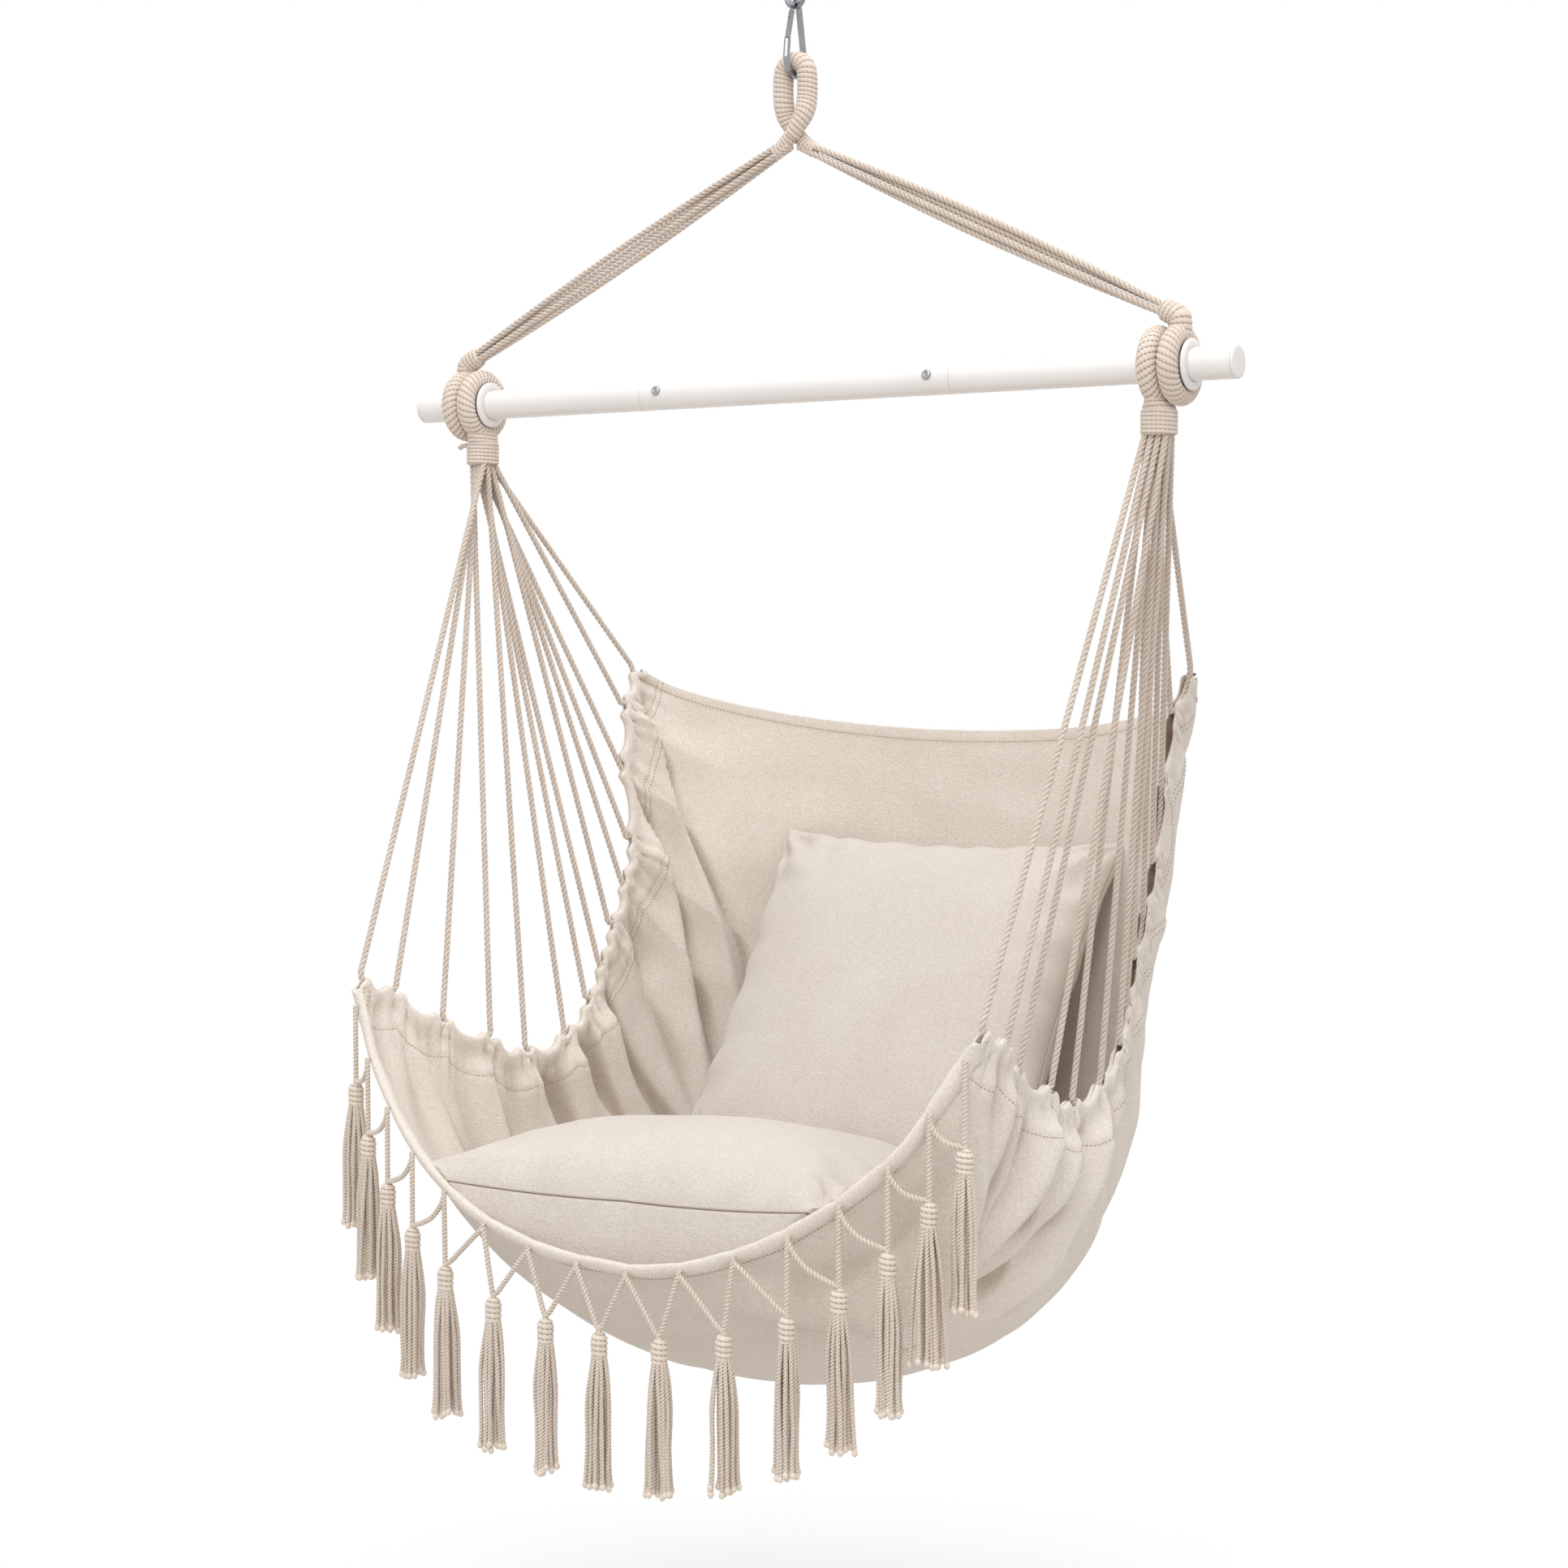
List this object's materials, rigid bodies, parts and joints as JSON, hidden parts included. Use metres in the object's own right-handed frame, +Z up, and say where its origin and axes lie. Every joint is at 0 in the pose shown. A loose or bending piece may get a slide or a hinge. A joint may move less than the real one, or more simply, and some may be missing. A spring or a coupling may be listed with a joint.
{
  "type": "hammock chair",
  "caption": "Canvas sling seat with loose cushions and a tasselled front edge, hung on fanned side cords and rope eyes from a spreader bar, a rope loop and a snap hook.",
  "frame": {"origin": "inside of the top bend of the chain link that the chair hangs from", "axes": "+Z up, +X along the spreader bar to the right of someone who looks at the seat from the front, +Y towards the back of the seat"},
  "size_m": [1, 0.741, 1.5113],
  "materials": {
    "zinc_link": "bright zinc plate",
    "hook_steel": "bright plated steel",
    "joint_steel": "zinc plate",
    "white_paint": "satin white powder coat",
    "white_plastic": "moulded, matte",
    "rope_cotton": "three-strand laid cotton rope",
    "tassel_cotton": "twisted cotton strands",
    "seat_canvas": "plain-weave cotton canvas",
    "cushion_canvas": "plain-weave cotton canvas, lighter"
  },
  "bodies": {
    "hanger": {"hanging_link": "zinc_link"},
    "hook": {"hook_body": "hook_steel", "gate_pin": "hook_steel"},
    "gate": {"hook_gate": "hook_steel", "gate_spring": "hook_steel"},
    "sling": {"top_loop_core": "rope_cotton", "top_loop_whipping": "rope_cotton", "sling_rope_left_1": "rope_cotton", "sling_rope_left_2": "rope_cotton", "sling_rope_left_3": "rope_cotton", "sling_rope_left_4": "rope_cotton", "sling_rope_right_1": "rope_cotton", "sling_rope_right_2": "rope_cotton", "sling_rope_right_3": "rope_cotton", "sling_rope_right_4": "rope_cotton", "upper_eye_core_left": "rope_cotton", "upper_eye_whipping_left": "rope_cotton", "upper_eye_core_right": "rope_cotton", "upper_eye_whipping_right": "rope_cotton", "inner_bush_left": "white_plastic", "outer_bush_left": "white_plastic", "inner_bush_right": "white_plastic", "outer_bush_right": "white_plastic"},
    "bar_middle": {"bar_middle_tube": "white_paint", "joint_sleeve_left": "joint_steel", "joint_screw_left": "joint_steel", "joint_sleeve_right": "joint_steel", "joint_screw_right": "joint_steel"},
    "bar_left": {"bar_left_tube": "white_paint", "bar_end_cap_left": "white_plastic"},
    "bar_right": {"bar_right_tube": "white_paint", "bar_end_cap_right": "white_plastic"},
    "seat": {"seat_cloth": "seat_canvas", "front_hem": "seat_canvas", "tassel_fringe": "tassel_cotton", "side_casing_left": "seat_canvas", "side_casing_right": "seat_canvas", "lower_eye_core_left": "rope_cotton", "lower_eye_whipping_left": "rope_cotton", "lower_eye_core_right": "rope_cotton", "lower_eye_whipping_right": "rope_cotton", "collar_whipping_left": "rope_cotton", "collar_whipping_right": "rope_cotton", "seat_cord_left_1": "rope_cotton", "seat_cord_left_2": "rope_cotton", "seat_cord_left_3": "rope_cotton", "seat_cord_left_4": "rope_cotton", "seat_cord_left_5": "rope_cotton", "seat_cord_left_6": "rope_cotton", "seat_cord_left_7": "rope_cotton", "seat_cord_right_1": "rope_cotton", "seat_cord_right_2": "rope_cotton", "seat_cord_right_3": "rope_cotton", "seat_cord_right_4": "rope_cotton", "seat_cord_right_5": "rope_cotton", "seat_cord_right_6": "rope_cotton", "seat_cord_right_7": "rope_cotton"},
    "seat_cushion": {"seat_cushion": "cushion_canvas"},
    "back_cushion": {"back_cushion": "cushion_canvas"}
  },
  "joints": [
    {"name": "hook_swing", "type": "hinge", "parent": "hanger", "child": "hook", "pos_m": [0, 0, -0.0385], "axis": [1, 0, 0], "range_deg": [-40, 40]},
    {"name": "gate_open", "type": "hinge", "parent": "hook", "child": "gate", "pos_m": [0, -0.0073, -0.0462], "axis": [1, 0, 0], "range_deg": [0, 28], "stiffness_Nm_per_rad": 0.02, "springref_deg": -22.92},
    {"name": "sling_sway", "type": "hinge", "parent": "hook", "child": "sling", "pos_m": [0, 0, -0.1092], "axis": [0, 1, 0], "range_deg": [-20, 20]},
    {"name": "bar_spin", "type": "hinge", "parent": "sling", "child": "bar_middle", "pos_m": [0, 0, -0.4302], "axis": [1, 0, 0], "continuous": true},
    {"name": "tube_pull_left", "type": "slide", "parent": "bar_middle", "child": "bar_left", "axis": [-1, 0, 0], "range_m": [0, 0.06]},
    {"name": "tube_pull_right", "type": "slide", "parent": "bar_middle", "child": "bar_right", "axis": [1, 0, 0], "range_m": [0, 0.06]},
    {"name": "seat_tilt", "type": "hinge", "parent": "sling", "child": "seat", "pos_m": [0, 0, -0.4302], "axis": [1, 0, 0], "range_deg": [-20, 20]},
    {"name": "seat_cushion_lift", "type": "slide", "parent": "seat", "child": "seat_cushion", "axis": [0, 0, 1], "range_m": [0, 0.1]},
    {"name": "back_cushion_lift", "type": "slide", "parent": "seat_cushion", "child": "back_cushion", "axis": [0, 0, 1], "range_m": [0, 0.2]}
  ]
}
